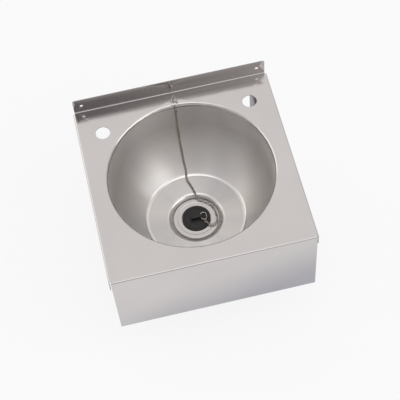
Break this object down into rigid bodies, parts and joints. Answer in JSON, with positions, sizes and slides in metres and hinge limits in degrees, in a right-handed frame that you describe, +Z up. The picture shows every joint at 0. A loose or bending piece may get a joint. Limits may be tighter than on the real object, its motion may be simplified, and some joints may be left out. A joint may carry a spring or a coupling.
{
  "type": "wall-hung hand wash basin",
  "caption": "Wall-hung stainless steel hand wash basin: square folded deck with a round bowl, deep front apron, rear upstand, tap holes, waste, rubber plug, ring and chain",
  "frame": {"origin": "Midway between the two screw holes of the rear upstand, on the plane of the wall", "axes": "+X to the right as the user sees it, +Y into the wall, +Z up"},
  "size_m": [0.3, 0.3, 0.2305],
  "materials": {
    "satin_steel": "satin",
    "polished_steel": "bright satin",
    "waste_chrome": "polished",
    "chain_chrome": "polished",
    "stay_chrome": "polished",
    "plug_rubber": "smooth moulded",
    "seal_rubber": "matt",
    "nut_plastic": "moulded"
  },
  "bodies": {
    "sink": {"basin_top": "satin_steel", "side_panel_left": "satin_steel", "side_panel_right": "satin_steel", "bowl": "polished_steel", "waste_body": "waste_chrome", "waste_top_seal": "seal_rubber", "waste_bottom_seal": "seal_rubber", "waste_slip_washer": "nut_plastic", "waste_backnut": "nut_plastic", "chain_links": "chain_chrome", "stay_triangle": "chain_chrome", "stay_eye": "stay_chrome", "stay_washer": "stay_chrome", "stay_nut": "stay_chrome"},
    "plug": {"plug": "plug_rubber"},
    "plug_ring": {"plug_ring": "chain_chrome"}
  },
  "joints": [
    {"name": "plug_lift", "type": "slide", "parent": "sink", "child": "plug", "axis": [0, 0, 1], "range_m": [0, 0.06], "deforming": ["chain_links"]},
    {"name": "ring_swing", "type": "hinge", "parent": "plug", "child": "plug_ring", "pos_m": [0.0077, -0.149, -0.14325], "axis": [0, -1, 0], "range_deg": [0, 130], "deforming": ["chain_links"]}
  ]
}
